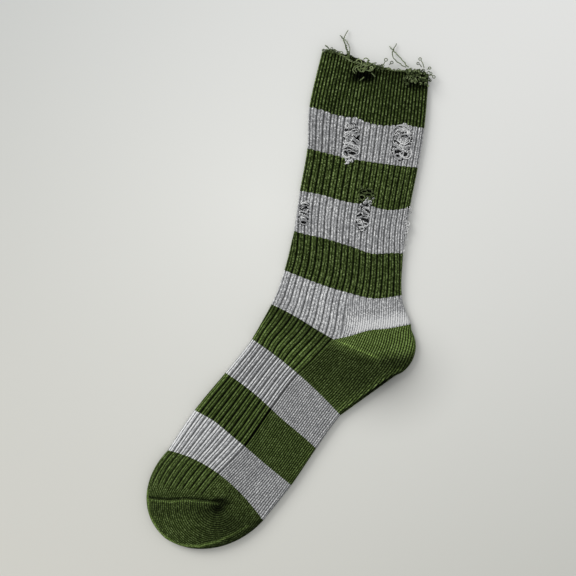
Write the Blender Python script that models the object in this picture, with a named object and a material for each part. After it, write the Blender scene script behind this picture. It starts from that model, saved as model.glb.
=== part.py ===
"""A holey sock, laid flat on its side: one knitted tube in green and grey stripes.

The tube is knitted from the cuff to the toe and closed over the toes. Each stripe is a ring of
the tube, with a wall all round, and its two layers lie on each other. The fold down the front of
the leg and the instep is on the left (-X). The fold down the calf, the heel and the sole is on
the right (+X). The cuff has come undone: it has no hem, and loops and loose ends stand out of it.

Sizes are in millimetres here and become metres in the mesh. Flat places are (x, y) on the surface
that the sock lies on, with the cuff towards +Y.
"""
import math
from collections import namedtuple

import bmesh
import bpy
from mathutils import Vector

MM = 0.001

# Cloth
WALL = 2.0                  # rib knit, its relief included
POCKET_WALL = 2.2           # heel and toe are knitted with a second yarn
SEAM_GAP = 0.3              # left between neighbouring pieces
FOLD_HEIGHT = 4.4           # two layers at a fold
FOLD_ROUND = 3.0            # reach of the rounding along both folds
FOLD_STEPS = 3              # facets round a quarter of a fold
ACROSS_STEPS = 10           # facets across the flat of a layer

# The middle of the sock's outline, which comes to the origin
CENTRE = Vector((-0.44, 7.25))

# Foot axes: the foot lies 53 degrees below the -X axis
FOOT_ALONG = Vector((-0.6, -0.8))
FOOT_ACROSS = Vector((0.8, -0.6))

# Heel pocket
HEEL_CENTRE = Vector((69.6, -34.1))
HEEL_RADIUS = 23.7
HEEL_FIRST_ANGLE = 30.0     # degrees, where the round of the heel starts
HEEL_LAST_ANGLE = -70.0     # and where it runs into the sole
HEEL_ROUND_ROWS = 6
HEEL_SOLE_ROWS = 3
HEEL_HEIGHT = 8.0

# Toe pocket
TOE_LENGTH = 52.5           # from the last grey stripe to the tip
TOE_HALF_WIDTH = 45.4
TOE_DRIFT = 6.0             # how far the toe leans towards the front fold
TOE_ROWS = 9
TOE_LAST_ANGLE = 80.0       # degrees round the toe's half ellipse, before the tip
TOE_HEIGHT = 7.6
TOE_TIP_HEIGHT = 4.9

GREEN = (0.056, 0.078, 0.022)
GREY = (0.30, 0.31, 0.32)
CLOTH_ROUGHNESS = 0.92

# A course is one round of the knitting: its place on the front fold, at the middle of the layer
# (where the ribs end on the foot, and where the heel starts), and on the back fold.
# kink is 1 where the two halves meet at a corner, and height is the sock's thickness there.
Course = namedtuple("Course", "name front middle back kink height")
LEG_COURSES = [
    #      name             front            middle           back             kink  height
    Course("cuff edge",    (24.8, 180.2),   (63.5, 170.4),   (102.5, 162.0),   0.0,  4.6),
    Course("cuff end",     (15.5, 139.9),   (56.9, 129.1),   (99.2, 124.3),    0.0,  4.8),
    Course("stripe 1 end", (14.0, 109.7),   (53.3, 100.8),   (94.5, 95.6),     0.0,  4.8),
    Course("stripe 2 end", (8.6, 78.7),     (48.1, 69.6),    (88.5, 65.0),     0.0,  4.8),
    Course("stripe 3 end", (4.1, 49.5),     (43.8, 38.6),    (84.0, 33.2),     0.0,  4.8),
    Course("stripe 4 end", (-2.7, 20.3),    (39.4, 5.7),     (82.9, 3.2),      0.0,  5.0),
    Course("ankle end",    (-12.2, -4.5),   (33.0, -29.3),   (89.8, -18.1),    1.0,  6.2),
]
FOOT_COURSES = [
    #      name             front            middle           back             kink  height
    Course("heel end",     (-26.2, -29.0),  (7.2, -54.2),    (38.4, -84.8),    0.0,  5.2),
    Course("stripe 6 end", (-45.6, -53.4),  (-11.4, -78.6),  (20.8, -108.8),   0.0,  5.0),
    Course("stripe 7 end", (-68.2, -80.8),  (-31.2, -106.6), (3.0, -135.2),    0.0,  5.0),
    Course("stripe 8 end", (-87.5, -109.8), (-50.4, -126.8), (-17.8, -161.3),  0.0,  5.4),
]

# Stripes of the tube between two courses, with the number of facets along each.
Stripe = namedtuple("Stripe", "name first last rows colour")
STRIPES = [
    #      name               first           last           rows  colour
    Stripe("cuff_rib_green",  "cuff edge",    "cuff end",     4,   "green"),
    Stripe("leg_grey_upper",  "cuff end",     "stripe 1 end", 3,   "grey"),
    Stripe("leg_green_upper", "stripe 1 end", "stripe 2 end", 3,   "green"),
    Stripe("leg_grey_lower",  "stripe 2 end", "stripe 3 end", 3,   "grey"),
    Stripe("leg_green_lower", "stripe 3 end", "stripe 4 end", 3,   "green"),
    Stripe("ankle_grey",      "stripe 4 end", "ankle end",    4,   "grey"),
    Stripe("foot_grey_rear",  "heel end",     "stripe 6 end", 3,   "grey"),
    Stripe("foot_green",      "stripe 6 end", "stripe 7 end", 3,   "green"),
    Stripe("foot_grey_front", "stripe 7 end", "stripe 8 end", 3,   "grey"),
]

# Eyes worn through the upper layer: the stripe, the place, and the size of each.
Eye = namedtuple("Eye", "stripe x y width length")
EYES = [
    #   stripe             x      y      width length
    Eye("leg_grey_upper",  41.2,  106.7, 3.4,  3.2),
    Eye("leg_grey_upper",  48.2,  106.0, 4.6,  3.2),
    Eye("leg_grey_upper",  78.4,  105.9, 5.2,  3.0),
    Eye("leg_grey_upper",  84.7,  106.4, 3.4,  3.8),
    Eye("leg_green_upper", 56.8,  77.2,  4.4,  2.4),
    Eye("leg_grey_lower",  54.8,  55.6,  4.6,  3.2),
    Eye("leg_grey_lower",  11.6,  55.2,  3.6,  2.6),
]
EYE_CORNERS = 10

# Unravelled loops past the cuff's edge: where each tuft starts and ends, as shares of the way
# across the cuff, and its reach and height.
Tuft = namedtuple("Tuft", "name start end reach height")
TUFTS = [
    #    name                start end   reach height
    Tuft("fray_front_corner", 0.02, 0.20, 2.6, 3.6),
    Tuft("fray_middle",       0.40, 0.62, 3.4, 5.0),
    Tuft("fray_back_corner",  0.78, 0.98, 6.4, 5.0),
]
TUFT_STEPS = 8
TUFT_SIDES = 8

# Loose ends of yarn that stand out past the edge: where each starts, bends and ends.
LooseEnd = namedtuple("LooseEnd", "name start bend end")
LOOSE_ENDS = [
    #        name                start                bend                 end
    LooseEnd("loose_end_front",  (43.2, 178.8, 3.0),  (39.9, 188.4, 3.4),  (43.9, 196.3, 2.6)),
    LooseEnd("loose_end_long",   (87.6, 169.4, 3.4),  (80.2, 177.4, 3.8),  (73.8, 184.5, 3.0)),
    LooseEnd("loose_end_bowed",  (84.8, 169.4, 2.2),  (76.0, 176.4, 1.8),  (79.2, 186.6, 1.2)),
]
YARN_WIDTH = 0.9
YARN_SIDES = 6
YARN_STEPS = 8


def clear_scene():
    for thing in list(bpy.data.objects):
        bpy.data.objects.remove(thing, do_unlink=True)


def yarn_material(name, colour):
    material = bpy.data.materials.new(name)
    material.use_nodes = True
    shader = material.node_tree.nodes["Principled BSDF"]
    shader.inputs["Base Color"].default_value = (*colour, 1.0)
    shader.inputs["Roughness"].default_value = CLOTH_ROUGHNESS
    shader.inputs["Metallic"].default_value = 0.0
    return material


# ---------------------------------------------------------------- courses along the tube

def heel_courses():
    """The courses of the heel. They fan out from the ankle and run round the heel pocket."""
    start, end = LEG_COURSES[-1], FOOT_COURSES[0]
    outline = [Vector(start.back)]
    for k in range(HEEL_ROUND_ROWS + 1):
        turn = k / HEEL_ROUND_ROWS
        angle = math.radians(HEEL_FIRST_ANGLE + (HEEL_LAST_ANGLE - HEEL_FIRST_ANGLE) * turn)
        outline.append(HEEL_CENTRE + HEEL_RADIUS * Vector((math.cos(angle), math.sin(angle))))
    round_end, sole_end = outline[-1], Vector(end.back)
    for k in range(1, HEEL_SOLE_ROWS + 1):
        outline.append(round_end.lerp(sole_end, k / HEEL_SOLE_ROWS))
    courses = []
    for k, back in enumerate(outline):
        share = k / (len(outline) - 1)
        front = Vector(start.front).lerp(Vector(end.front), share)
        middle = Vector(start.middle).lerp(Vector(end.middle), share)
        puff = math.sin(math.pi * share)
        height = start.height + (end.height - start.height) * share
        height += (HEEL_HEIGHT - height) * puff
        courses.append(Course(f"heel {k}", front, middle, back, (1 - share) ** 2, height))
    return courses


def toe_courses():
    """The courses of the toe: across a half ellipse, narrowing to the tip."""
    start = FOOT_COURSES[-1]
    front, back = Vector(start.front), Vector(start.back)
    base = (front + back) / 2
    bow = Vector(start.middle) - base
    skew = (front - base).dot(FOOT_ALONG)
    half_width = (back - front).dot(FOOT_ACROSS) / 2
    courses = []
    for k in range(TOE_ROWS + 1):
        share = k / TOE_ROWS
        angle = math.radians(TOE_LAST_ANGLE * share)
        width = TOE_HALF_WIDTH * math.cos(angle) + (half_width - TOE_HALF_WIDTH) * (1 - share)
        drift = FOOT_ACROSS * TOE_DRIFT * math.sin(angle)
        middle = base + FOOT_ALONG * TOE_LENGTH * math.sin(angle) - drift
        side = FOOT_ACROSS * width - FOOT_ALONG * skew * (1 - share)
        bowed = middle + bow * math.cos(angle) ** 2 * (1 - share)
        puff = math.sin(math.pi * min(1.0, share * 1.15))
        height = start.height + (TOE_TIP_HEIGHT - start.height) * share
        height += (TOE_HEIGHT - height) * puff
        courses.append(Course(f"toe {k}", middle - side, bowed, middle + side, 0.0, height))
    return courses


def all_courses():
    return LEG_COURSES + heel_courses()[1:-1] + FOOT_COURSES + toe_courses()[1:]


def smooth_between(before, start, end, after, share):
    """A point of the smooth curve through four places, between the two in the middle."""
    before, start, end, after = (Vector(p) for p in (before, start, end, after))
    out_slope = (end - before) / 2
    in_slope = (after - start) / 2
    s2, s3 = share ** 2, share ** 3
    return (
        start * (2 * s3 - 3 * s2 + 1)
        + out_slope * (s3 - 2 * s2 + share)
        + end * (3 * s2 - 2 * s3)
        + in_slope * (s3 - s2)
    )


def courses_between(stripe):
    """The courses of a stripe: both of its ends, and those knitted between them."""
    known = all_courses()
    i = [c.name for c in known].index(stripe.first)
    start, end = known[i], known[i + 1]
    before, after = known[max(i - 1, 0)], known[i + 2]
    found = []
    for k in range(stripe.rows + 1):
        share = k / stripe.rows
        places = [
            smooth_between(*(getattr(c, part) for c in (before, start, end, after)), share)
            for part in ("front", "middle", "back")
        ]
        kink = start.kink * (1 - share) ** 2 + end.kink * share ** 2
        height = start.height + (end.height - start.height) * share
        found.append(Course(f"{stripe.name} {k}", *places, kink, height))
    return found


# ---------------------------------------------------------------- one course as a closed ring

def place_on(course, share):
    """The flat place at a share of the way from the front fold to the back fold."""
    front, middle, back = Vector(course.front), Vector(course.middle), Vector(course.back)
    if share < 0.5:
        corner = front.lerp(middle, share * 2)
    else:
        corner = middle.lerp(back, share * 2 - 1)
    control = middle * 2 - (front + back) / 2
    rounded = front * (1 - share) ** 2 + control * 2 * share * (1 - share) + back * share ** 2
    return rounded.lerp(corner, course.kink)


def down_the_sock(course, share):
    """The unit direction square to the course there, towards the toe."""
    step = 0.01
    low, high = max(share - step, 0.0), min(share + step, 1.0)
    along = (place_on(course, high) - place_on(course, low)).normalized()
    return Vector((along.y, -along.x))


def height_at(course, share):
    """The cloth rises quickly from the fold's height to the course's full height."""
    edge = min(course.height, FOLD_HEIGHT)
    return edge + (course.height - edge) * math.sin(math.pi * share) ** 0.5


def ring(course, wall=0.0, shift=0.0):
    """The points round a course, over the upper layer and back under the lower one.

    wall moves the ring inwards by that much, and shift moves it down the sock.
    """
    length = (Vector(course.back) - Vector(course.front)).length
    middle = min(course.height, FOLD_HEIGHT) / 2
    folds = [math.pi / 2 * k / FOLD_STEPS for k in range(FOLD_STEPS + 1)]
    reach = min(FOLD_ROUND, length * 0.3) - wall
    near = [(wall + reach * (1 - math.cos(f)), math.sin(f)) for f in folds]
    first_flat = near[-1][0]
    step = (length - 2 * first_flat) / ACROSS_STEPS
    flat = [(first_flat + step * k, 1.0) for k in range(1, ACROSS_STEPS)]
    far = [(length - distance, lift) for distance, lift in reversed(near)]
    upper, lower = [], []
    for distance, lift in near + flat + far:
        share = distance / length
        at = place_on(course, share) + down_the_sock(course, share) * shift
        rise = (height_at(course, share) - wall - middle) * lift
        upper.append((at.x, at.y, middle + rise))
        lower.append((at.x, at.y, middle - (middle - wall) * lift))
    return upper + lower[-2:0:-1]


# ---------------------------------------------------------------- solids

def add_object(name, builder, material):
    mesh = bpy.data.meshes.new(name)
    bmesh.ops.recalc_face_normals(builder, faces=builder.faces)
    builder.to_mesh(mesh)
    builder.free()
    mesh.shade_smooth()
    mesh.set_sharp_from_angle(angle=math.radians(50))
    mesh.materials.append(material)
    thing = bpy.data.objects.new(name, mesh)
    bpy.context.scene.collection.objects.link(thing)
    return thing


def add_vertex(builder, point):
    x, y, z = point
    return builder.verts.new(Vector((x - CENTRE.x, y - CENTRE.y, z)) * MM)


def add_ring(builder, points):
    return [add_vertex(builder, p) for p in points]


def join_rings(builder, first, second):
    count = len(first)
    for i in range(count):
        j = (i + 1) % count
        builder.faces.new((first[i], first[j], second[j], second[i]))


def close_to_point(builder, last, point):
    tip = add_vertex(builder, point)
    for i in range(len(last)):
        builder.faces.new((last[i], last[(i + 1) % len(last)], tip))


def tube(name, courses, wall, material):
    """A ring of the tube, open at both ends, half a seam gap short of its neighbours."""
    builder = bmesh.new()
    shifts = [0.0] * len(courses)
    shifts[0], shifts[-1] = SEAM_GAP / 2, -SEAM_GAP / 2
    skins = []
    for inset in (0.0, wall):
        skin = [add_ring(builder, ring(c, inset, s)) for c, s in zip(courses, shifts)]
        for first, second in zip(skin, skin[1:]):
            join_rings(builder, first, second)
        skins.append(skin)
    join_rings(builder, skins[0][0], skins[1][0])
    join_rings(builder, skins[0][-1], skins[1][-1])
    return add_object(name, builder, material)


def toe_pocket(name, courses, wall, material):
    """The closed end of the tube."""
    builder = bmesh.new()
    last = courses[-1]
    base = (Vector(last.front) + Vector(last.back)) / 2
    to_tip = TOE_LENGTH * (1 - math.sin(math.radians(TOE_LAST_ANGLE)))
    shifts = [SEAM_GAP / 2] + [0.0] * TOE_ROWS
    skins = []
    for inset, kept in ((0.0, courses), (wall, courses[:-1])):
        skin = [add_ring(builder, ring(c, inset, s)) for c, s in zip(kept, shifts)]
        for first, second in zip(skin, skin[1:]):
            join_rings(builder, first, second)
        tip = base + FOOT_ALONG * (to_tip - inset)
        close_to_point(builder, skin[-1], (tip.x, tip.y, last.height / 2))
        skins.append(skin)
    join_rings(builder, skins[0][0], skins[1][0])
    return add_object(name, builder, material)


def cut_eye(stripe, eye, number, material):
    """Cuts one eye through the upper layer of a stripe."""
    builder = bmesh.new()
    angles = [2 * math.pi * k / EYE_CORNERS for k in range(EYE_CORNERS)]
    rims = []
    for z in (FOLD_HEIGHT / 2, FOLD_HEIGHT * 2):
        rims.append(add_ring(builder, [
            (eye.x + eye.width / 2 * math.cos(a), eye.y + eye.length / 2 * math.sin(a), z)
            for a in angles
        ]))
    join_rings(builder, rims[0], rims[1])
    builder.faces.new(rims[0])
    builder.faces.new(rims[1])
    cutter = add_object(f"eye_cutter_{number}", builder, material)
    cutter.hide_render = True
    cutter.display_type = "WIRE"
    cut = stripe.modifiers.new(f"eye {number}", "BOOLEAN")
    cut.operation = "DIFFERENCE"
    cut.solver = "EXACT"
    cut.object = cutter


def fray_tuft(tuft, material):
    """The plain solid of a tuft's reach: a rounded strip along the cuff's edge."""
    edge = LEG_COURSES[0]
    builder = bmesh.new()
    rings = []
    for k in range(1, TUFT_STEPS):
        share = tuft.start + (tuft.end - tuft.start) * k / TUFT_STEPS
        swell = math.sin(math.pi * k / TUFT_STEPS) ** 0.5
        outward = -down_the_sock(edge, share)
        reach, height = tuft.reach * swell, tuft.height * swell
        points = []
        for n in range(TUFT_SIDES):
            turn = 2 * math.pi * n / TUFT_SIDES
            out = SEAM_GAP + reach / 2 * (1 + math.cos(turn))
            at = place_on(edge, share) + outward * out
            points.append((at.x, at.y, height / 2 * (1 + math.sin(turn))))
        rings.append(add_ring(builder, points))
    for first, second in zip(rings, rings[1:]):
        join_rings(builder, first, second)
    for end, share in ((rings[0], tuft.start), (rings[-1], tuft.end)):
        at = place_on(edge, share) - down_the_sock(edge, share) * (SEAM_GAP + 0.5)
        close_to_point(builder, end, (at.x, at.y, tuft.height / 4))
    return add_object(tuft.name, builder, material)


def loose_end(loose, material):
    """One end of yarn: a thin round solid bent once."""
    start, bend, end = Vector(loose.start), Vector(loose.bend), Vector(loose.end)
    control = bend * 2 - (start + end) / 2
    builder = bmesh.new()
    rings = []
    for k in range(YARN_STEPS + 1):
        share = k / YARN_STEPS
        at = start * (1 - share) ** 2 + control * 2 * share * (1 - share) + end * share ** 2
        along = ((control - start) * (1 - share) + (end - control) * share).normalized()
        side = along.cross(Vector((0, 0, 1))).normalized()
        up = side.cross(along)
        turns = [2 * math.pi * n / YARN_SIDES for n in range(YARN_SIDES)]
        rings.append(add_ring(builder, [
            at + (side * math.cos(t) + up * math.sin(t)) * YARN_WIDTH / 2 for t in turns
        ]))
    for first, second in zip(rings, rings[1:]):
        join_rings(builder, first, second)
    builder.faces.new(rings[0])
    builder.faces.new(rings[-1])
    return add_object(loose.name, builder, material)


def build_sock():
    clear_scene()
    yarns = {
        "green": yarn_material("green_yarn", GREEN),
        "grey": yarn_material("grey_yarn", GREY),
    }
    made = {}
    for stripe in STRIPES:
        yarn = yarns[stripe.colour]
        made[stripe.name] = tube(stripe.name, courses_between(stripe), WALL, yarn)
    tube("heel_green", heel_courses(), POCKET_WALL, yarns["green"])
    toe_pocket("toe_green", toe_courses(), POCKET_WALL, yarns["green"])
    for number, eye in enumerate(EYES, start=1):
        cut_eye(made[eye.stripe], eye, number, yarns["grey"])
    for tuft in TUFTS:
        fray_tuft(tuft, yarns["green"])
    for loose in LOOSE_ENDS:
        loose_end(loose, yarns["green"])


build_sock()
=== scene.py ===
import math
import random
from collections import namedtuple

import bpy
import numpy as np
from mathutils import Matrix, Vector


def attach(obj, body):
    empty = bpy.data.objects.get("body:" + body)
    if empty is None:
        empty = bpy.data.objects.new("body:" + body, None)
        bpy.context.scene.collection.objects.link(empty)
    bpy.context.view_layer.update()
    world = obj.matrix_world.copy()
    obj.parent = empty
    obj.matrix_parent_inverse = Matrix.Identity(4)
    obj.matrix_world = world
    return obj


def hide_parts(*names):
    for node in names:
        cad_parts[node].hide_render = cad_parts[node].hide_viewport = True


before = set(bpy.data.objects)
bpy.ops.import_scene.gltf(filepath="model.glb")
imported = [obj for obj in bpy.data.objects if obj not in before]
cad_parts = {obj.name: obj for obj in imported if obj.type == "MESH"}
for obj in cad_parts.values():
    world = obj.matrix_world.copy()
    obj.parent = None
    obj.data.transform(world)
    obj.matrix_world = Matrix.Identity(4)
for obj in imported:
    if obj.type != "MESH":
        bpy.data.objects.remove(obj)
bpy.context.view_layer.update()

# ---- surface, light and camera
# The sock lies on a pale, smooth, matt surface, whose colour is painted lighter towards its far right
# corner: painted light, for the uneven fall of the light over it. The light is soft and comes from
# the upper left, so the shadows are short and fall to the lower right.
FLOOR_SIZE = 14
FLOOR_DROP = 0.0003
FLOOR_NEAR = (0.675, 0.665, 0.61), (0.605, 0.605, 0.562)    # its colour at the left and the right
FLOOR_FAR = (0.56, 0.568, 0.55), (0.82, 0.82, 0.805)
SWEEP = (-0.23, 0), (0.46, 0.46)    # where one colour starts to pass into the other, and how far
# A patch: its middle, its reach, how much it changes the colour, and the value outside of it. The
# bright one is a painted pool of light. The dark one beside the heel is a painted shadow, which
# stands in for the shade of a sock that lies higher, on its pair.
BRIGHT_PATCH = (-0.02, 0.06), (0.5, 0.5), 0.243, 0.97
HEEL_SHADE = (0.0705, -0.0635), (0.0657, 0.0526), -0.62, 1
ROOM_COLOUR, ROOM_STRENGTH = (0.98, 0.99, 1), 0.62
WINDOW_PLACE, WINDOW_SIZE = (-2.55, 2.1, 1.95), (2.3, 2)
WINDOW_WATTS, WINDOW_COLOUR = 103, (1, 0.995, 0.98)
VIEW_WIDTH = 0.4205         # how much of the surface the view takes in
VIEW_HEIGHT = 0.9
VIEW_CENTRE = (0.0004, 0.0008)
SENSOR = 36


def new_material(name, roughness, specular):
    """A material with its node tree and its shader."""
    material = bpy.data.materials.new(name)
    material.use_nodes = True
    shader = material.node_tree.nodes["Principled BSDF"]
    shader.inputs["Roughness"].default_value = roughness
    shader.inputs["Specular IOR Level"].default_value = specular
    return material, material.node_tree, shader


def new_node(tree, kind, inputs, **settings):
    """A shader node with its settings and with what goes into it: numbers, colours or links."""
    node = tree.nodes.new(kind)
    for name, value in settings.items():
        setattr(node, name, value)
    for title, value in inputs.items():
        socket = node.inputs[title]
        if isinstance(value, bpy.types.NodeSocket):
            tree.links.new(value, socket)
        else:
            socket.default_value = (*value, 1) if socket.type == "RGBA" else value
    return node.outputs


def math_node(tree, operation, *values):
    return new_node(tree, "ShaderNodeMath", dict(enumerate(values)), operation=operation)[0]


def mix_node(tree, kind, factor, first, second):
    """Mixes two colours, which are sockets 6 and 7 of the node."""
    inputs = {0: factor, 6: first, 7: second}
    return new_node(tree, "ShaderNodeMix", inputs, data_type="RGBA", blend_type=kind)[2]


bpy.ops.object.select_all(action="DESELECT")
bpy.ops.mesh.primitive_plane_add(size=FLOOR_SIZE, location=(0, 0, -FLOOR_DROP))
surface = bpy.context.object
surface.name = "surface"
bpy.ops.object.transform_apply(location=True)
paint, tree, shader = new_material("pale_surface", roughness=0.75, specular=0.3)
surface.data.materials.append(paint)
place = new_node(tree, "ShaderNodeTexCoord", {})["Object"]


def floor_gradient(kind, middle, reach, turn=0):
    """A gradient over the surface: straight, from side to side of its middle, or round it."""
    mapping = new_node(tree, "ShaderNodeMapping", {
        "Vector": place, "Rotation": (0, 0, turn), "Scale": (1 / reach[0], 1 / reach[1], 1),
        "Location": (-middle[0] / reach[0], -middle[1] / reach[1], 0),
    })
    return new_node(tree, "ShaderNodeTexGradient", {"Vector": mapping[0]}, gradient_type=kind)["Fac"]


to_the_right, away = (floor_gradient("LINEAR", *SWEEP, turn) for turn in (0, -math.pi / 2))
patches = []
for middle, reach, change, outside in (BRIGHT_PATCH, HEEL_SHADE):
    patch = floor_gradient("QUADRATIC_SPHERE", middle, reach)
    patches.append(math_node(tree, "MULTIPLY_ADD", patch, change, outside))
near_side, far_side = (mix_node(tree, "MIX", to_the_right, *ends) for ends in (FLOOR_NEAR, FLOOR_FAR))
gain = math_node(tree, "MULTIPLY", *patches)
colour = mix_node(tree, "MULTIPLY", 1, mix_node(tree, "MIX", away, near_side, far_side), gain)
tree.links.new(colour, shader.inputs["Base Color"])

bpy.context.scene.view_settings.view_transform = "Standard"
bpy.context.scene.world = bpy.data.worlds.new("soft_room")
bpy.context.scene.world.use_nodes = True
room = bpy.context.scene.world.node_tree.nodes["Background"]
room.inputs["Color"].default_value = (*ROOM_COLOUR, 1)
room.inputs["Strength"].default_value = ROOM_STRENGTH

lamp = bpy.data.lights.new("window_light", "AREA")
lamp.shape, lamp.size, lamp.size_y = "RECTANGLE", *WINDOW_SIZE
lamp.energy, lamp.color = WINDOW_WATTS, WINDOW_COLOUR
window = bpy.data.objects.new("window_light", lamp)
window.location = WINDOW_PLACE
window.rotation_euler = Vector(WINDOW_PLACE).to_track_quat("Z", "Y").to_euler()
camera = bpy.data.cameras.new("camera")
camera.sensor_width = SENSOR
camera.lens = SENSOR * VIEW_HEIGHT / VIEW_WIDTH
camera_stand = bpy.data.objects.new("camera", camera)
camera_stand.location = (*VIEW_CENTRE, VIEW_HEIGHT)
for thing in (window, camera_stand):
    bpy.context.scene.collection.objects.link(thing)
bpy.context.scene.camera = camera_stand

# ---- cuff
# The cuff is the start of the tube: a fine 1x1 rib of dark green yarn, knitted on 152 needles. Its
# hem has worn away, so the edge is raw and wavy, and one sees into the mouth between the layers.

# Lengths are in millimetres from here on. A course is 1 mm long, so a length down the tube is its
# number of courses too.
MM = 0.001
CENTRE = np.array((-0.44, 7.25))    # the middle of the sock's outline, which comes to the origin
RIBS = 19                   # across a layer
COLUMNS = 576               # facets round the tube
FULL_TURN = 6.28            # in radians
FOLD_HEIGHT = 4.4
LEG_UP, FOOT_ALONG = np.array((0.13, 0.99)), np.array((-0.6, -0.8))
LEG_ROUND, FOOT_ROUND = 5.6, 6.6    # between these courses the leg's way turns into the foot's

# A course is one round of the knitting: its flat place on the front fold, at the middle of the
# layer and on the back fold, the sock's thickness there, and whether its halves meet at a corner.
Course = namedtuple("Course", "front middle back height kink", defaults=[0])
COURSES = [
    Course((24.8, 180.2), (63.5, 170.4), (102.5, 162), 4.6),  # raw edge
    Course((15.5, 139.9), (56.9, 129.1), (99.2, 124.3), 4.8),  # end of the cuff
    Course((14, 109.7), (53.3, 100.8), (94.5, 95.6), 4.8),  # end of stripe 1
    Course((8.6, 78.7), (48.1, 69.6), (88.5, 65), 4.8),  # end of stripe 2
    Course((4.1, 49.5), (43.8, 38.6), (84, 33.2), 4.8),  # end of stripe 3
    Course((-2.7, 20.3), (39.4, 5.7), (82.9, 3.2), 5),  # end of stripe 4
    Course((-12.2, -4.5), (33, -29.3), (89.8, -18.1), 6.2, 1),  # end of the ankle
    Course((-26.2, -29), (7.2, -54.2), (38.4, -84.8), 5.2),  # end of the heel
    Course((-45.6, -53.4), (-11.4, -78.6), (20.8, -108.8), 5),  # end of stripe 6
    Course((-68.2, -80.8), (-31.2, -106.6), (3, -135.2), 5),  # end of stripe 7
    Course((-87.5, -109.8), (-50.4, -126.8), (-17.8, -161.3), 5.4),  # end of stripe 8
]
RAW_EDGE, HEEL_START, HEEL_END, TOE_START = 0, 6, 7, 10    # their numbers in the list
# The back fold heads for the first of these where the heel starts, and comes from the other after it.
BEFORE_HEEL, AFTER_HEEL = (92.2, -27), (49.9, -75.9)

# The worn sock has lost its evenness: here and there a course strays up or down the leg. Each
# place has its share across, its course, how wide and how long it is, and its rise.
STRAYS = (
    (0.12, 1, 0.05, 0.2, 0.5), (0.21, 1, 0.06, 0.2, -0.4), (0.41, 1, 0.05, 0.22, 1.4),
    (0.6, 1, 0.12, 0.25, -1.2), (0.83, 1, 0.085, 0.22, 1.5), (0.38, 2, 0.08, 0.18, -0.8),
    (0.385, 2, 0.03, 0.1, -1.4), (0.2, 3, 0.15, 0.3, 1.2), (0.605, 3, 0.05, 0.15, 1.6),
    (0.79, 3, 0.12, 0.3, -1.6), (0.97, 3, 0.05, 0.3, 1), (0.3, 4, 0.18, 0.35, 1.4),
    (0.72, 4, 0.13, 0.35, -2.5), (0.18, 5, 0.25, 0.4, 1.3), (0.77, 5, 0.17, 0.4, -2.4),
    (0.15, 6, 0.2, 0.3, 1.5), (0.72, 6, 0.09, 0.25, 1.8), (0.62, 8, 0.25, 0.3, -1.8),
    (0.18, 9, 0.14, 0.25, 1.4), (0.75, 9, 0.25, 0.3, -1.2),
)

# The raw edge, at even steps from the front fold to the back: how far it stands past its course.
EDGE_UPPER = (-0.6, 2.6, 1.9, 0.6, -1.2, -1.8, -1.9, -1.3, -0.8, -1, -0.9, -0.2, 1, 2.2, 2.6, 0.8)
EDGE_LOWER = (-0.6, 1.4, 2.4, 2.7, 2.9, 2.2, 0.8, -0.4, 0.1, 0.1, -0.9, -0.2, 0.6, -0.4, 0.4, 0.8)

# Soft creases on the upper layer: from where, to where, how wide and how deep, below 0 for a fold
# that stands up.
CREASES = (
    ((30, 172), (22, 140), 5, 0.5), ((92, 158), (86, 131), 6, 0.5), ((20, 92), (30, 60), 6, 0.5),
    ((72, 88), (66, 58), 7, -0.5), ((76, 60), (70, 16), 8, 0.5), ((16, 30), (26, -18), 7, 0.6),
    ((33, -26), (50, 0), 5, 0.7), ((34, -29), (8, -6), 4.5, 0.7), ((60, -8), (84, -14), 5, -0.5),
    ((-4, -40), (-30, -62), 5, 0.4), ((10, -74), (-14, -104), 6, -0.4),
    ((-6, -120), (-34, -146), 7, 0.5), ((-40, -96), (-62, -112), 5, 0.4),
)


def ease(value, low, high):
    """0 below low, 1 above high, and smooth between."""
    t = np.clip((value - low) / (high - low), 0, 1)
    return t * t * (3 - 2 * t)


def peak(value, middle, width):
    """1 at the middle, and down to nothing smoothly within about twice the width."""
    return np.exp(-(((value - middle) / width) ** 2))


def beside(flat, start, end):
    """Where points lie by a line: across it, signed, along it as a share, and how far from it."""
    offset, way = flat - np.array(start), np.array(end) - np.array(start)
    length = np.linalg.norm(way)
    across = (offset[..., 0] * way[1] - offset[..., 1] * way[0]) / length
    along = offset @ way / length**2
    return across, along, np.hypot(across, (along - np.clip(along, 0, 1)) * length)


def rib_at(share, level):
    """Which rib of the layer lies there, counted from the front fold: whole numbers are grooves."""
    ankle = ease(level, 3.3, 4.6)
    crowding = 2.2 - 1.45 * ankle - 1.5 * ease(level, 4.6, 5.5)
    in_leg = (RIBS - crowding) * share + crowding * share**3 - 0.45 - 0.94 * ankle
    in_foot = np.where(share < 0.5, (share - 0.064) / 0.0545, 8 + (share - 0.5) * 19.65)
    foot = ease(level, 5.5, 7)
    return in_leg * (1 - foot) + in_foot * foot


def bend_between(p0, p1, p2, p3, s):
    """A smooth curve from p1, where s is 0, to p2, where s is 1, on its way from p0 and on to p3."""
    return p1 + s / 2 * (p2 - p0 + s * (2 * p0 - 5 * p1 + 4 * p2 - p3 + s * (3 * (p1 - p2) + p3 - p0)))


def rows_between(i, shares):
    """Courses i to i + 1 as smooth rows: front, middle, back, kink, height and level."""
    nearby = [COURSES[min(max(k, 0), len(COURSES) - 1)] for k in range(i - 1, i + 3)]
    start, end, s = nearby[1], nearby[2], np.asarray(shares)
    found = []
    for part in ("front", "middle", "back"):
        p0, p1, p2, p3 = (np.array(getattr(course, part)) for course in nearby)
        if part == "back":
            p0 = np.array(AFTER_HEEL) if i == HEEL_END else p0
            p3 = np.array(BEFORE_HEEL) if i == HEEL_START - 1 else p3
        if end is COURSES[-1]:
            p3 = 2 * p2 - p1
        found.append(bend_between(p0, p1, p2, p3, s[:, None]))
    kink = start.kink * (1 - s) ** 2 + end.kink * s**2
    return (*found, kink, start.height + (end.height - start.height) * s, i + s)


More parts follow.
